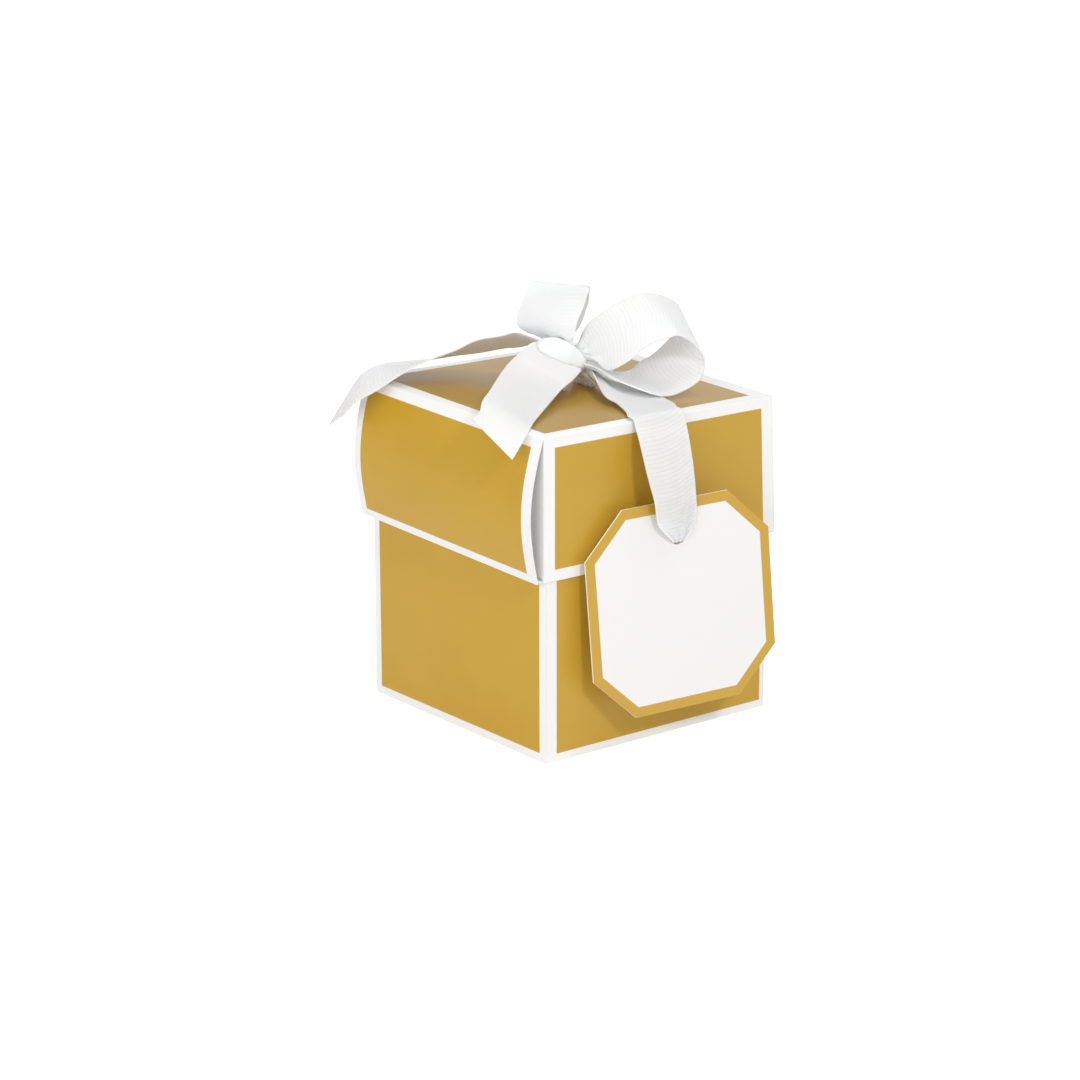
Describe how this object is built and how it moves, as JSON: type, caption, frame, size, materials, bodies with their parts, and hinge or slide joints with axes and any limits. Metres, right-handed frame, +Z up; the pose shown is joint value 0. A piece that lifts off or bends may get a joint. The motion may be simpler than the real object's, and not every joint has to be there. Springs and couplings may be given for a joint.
{
  "type": "gift box",
  "caption": "Small square card favour box with a lift-off lid, a white ribbon bow on top and an eight-sided gift tag hanging in front.",
  "frame": {"origin": "centre of the base's underside", "axes": "+Z up, the side that the tag hangs in front of faces -Y"},
  "size_m": [0.0696, 0.0735, 0.0879],
  "materials": {
    "printed_card": "satin print with a white border along each fold",
    "white_card": "matte",
    "ribbon": "ribbed ribbon with smooth edges",
    "tag_card": "matte, white face with a printed border"
  },
  "bodies": {
    "base": {"base_bottom": "white_card", "base_left_wall": "printed_card", "base_right_wall": "printed_card", "base_front_wall": "printed_card", "base_back_wall": "printed_card", "base_front_left_tab": "white_card", "base_front_right_tab": "white_card", "base_back_left_tab": "white_card", "base_back_right_tab": "white_card"},
    "lid": {"lid_top": "printed_card", "lid_front_skirt": "printed_card", "lid_back_skirt": "printed_card", "lid_left_skirt": "printed_card", "lid_right_skirt": "printed_card", "lid_left_liner": "white_card", "lid_right_liner": "white_card", "lid_front_left_tab": "white_card", "lid_front_right_tab": "white_card", "lid_back_left_tab": "white_card", "lid_back_right_tab": "white_card", "bow_knot": "ribbon", "bow_loop_right": "ribbon", "bow_loop_back": "ribbon", "bow_tail_left": "ribbon", "bow_tail_front": "ribbon", "ribbon_leg_left": "ribbon", "ribbon_leg_right": "ribbon", "ribbon_bridge": "ribbon", "tag_ribbon_top": "ribbon"},
    "tag_strap": {"tag_ribbon_drop": "ribbon", "tag_ribbon_knot": "ribbon"},
    "tag": {"gift_tag": "tag_card"}
  },
  "joints": [
    {"name": "lid_lift", "type": "slide", "parent": "base", "child": "lid", "axis": [0, 0, 1], "range_m": [0, 0.07]},
    {"name": "tag_ribbon_lift", "type": "hinge", "parent": "lid", "child": "tag_strap", "pos_m": [-0.00166, -0.0293, 0.06605], "axis": [-1, 0, 0], "range_deg": [0, 80]},
    {"name": "tag_swing", "type": "hinge", "parent": "tag_strap", "child": "tag", "pos_m": [-0.0004, -0.03429, 0.04276], "axis": [-0.1646, -0.9836, 0.0739], "range_deg": [-25, 25]}
  ]
}
